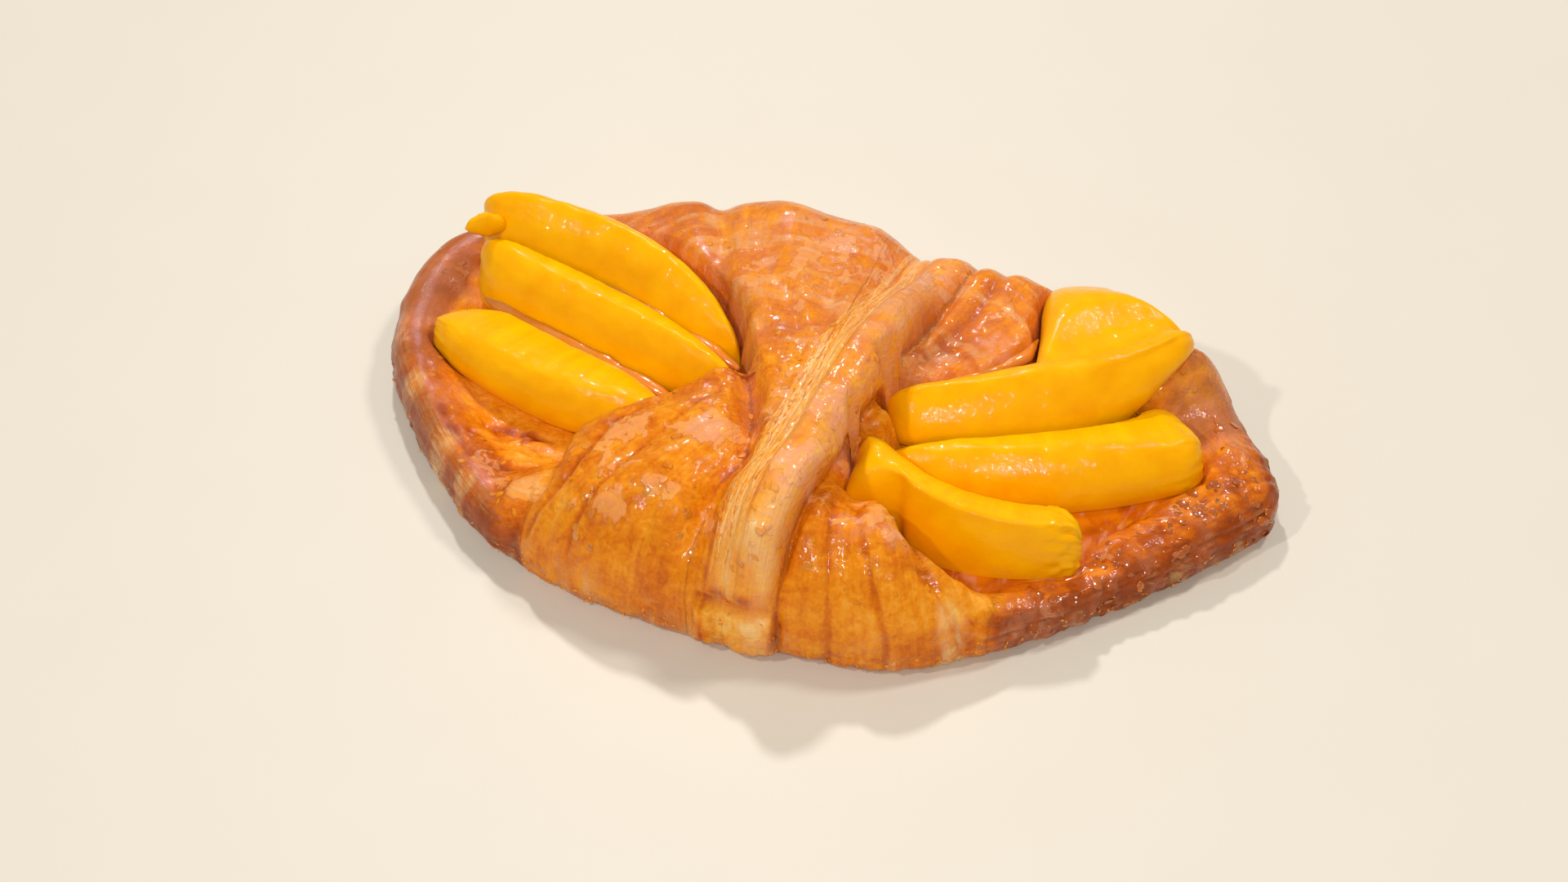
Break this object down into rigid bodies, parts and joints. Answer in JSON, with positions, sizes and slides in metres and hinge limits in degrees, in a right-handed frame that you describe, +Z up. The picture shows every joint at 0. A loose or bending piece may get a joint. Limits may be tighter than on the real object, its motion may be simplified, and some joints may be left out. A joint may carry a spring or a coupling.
{
  "type": "peach danish",
  "caption": "Folded puff pastry with a raised waist and two open pockets, each filled with glazed peach slices lying side by side.",
  "frame": {"origin": "middle of the plan extents, at the flat base the pastry rests on", "axes": "+X along the pastry from the left pocket to the right one as the picture shows it, +Y from the front to the back, +Z up"},
  "size_m": [0.1608, 0.0934, 0.0333],
  "materials": {
    "pastry": "golden to caramel brown baked puff pastry with a thin sugar glaze, satin to glossy",
    "peach": "moist yellow peach flesh, smooth and glossy under a clear glaze"
  },
  "bodies": {
    "root": {"pastry": "pastry", "peach_left_back": "peach", "peach_left_middle": "peach", "peach_left_front": "peach", "peach_right_back": "peach", "peach_right_middle": "peach", "peach_right_front": "peach"}
  },
  "joints": []
}
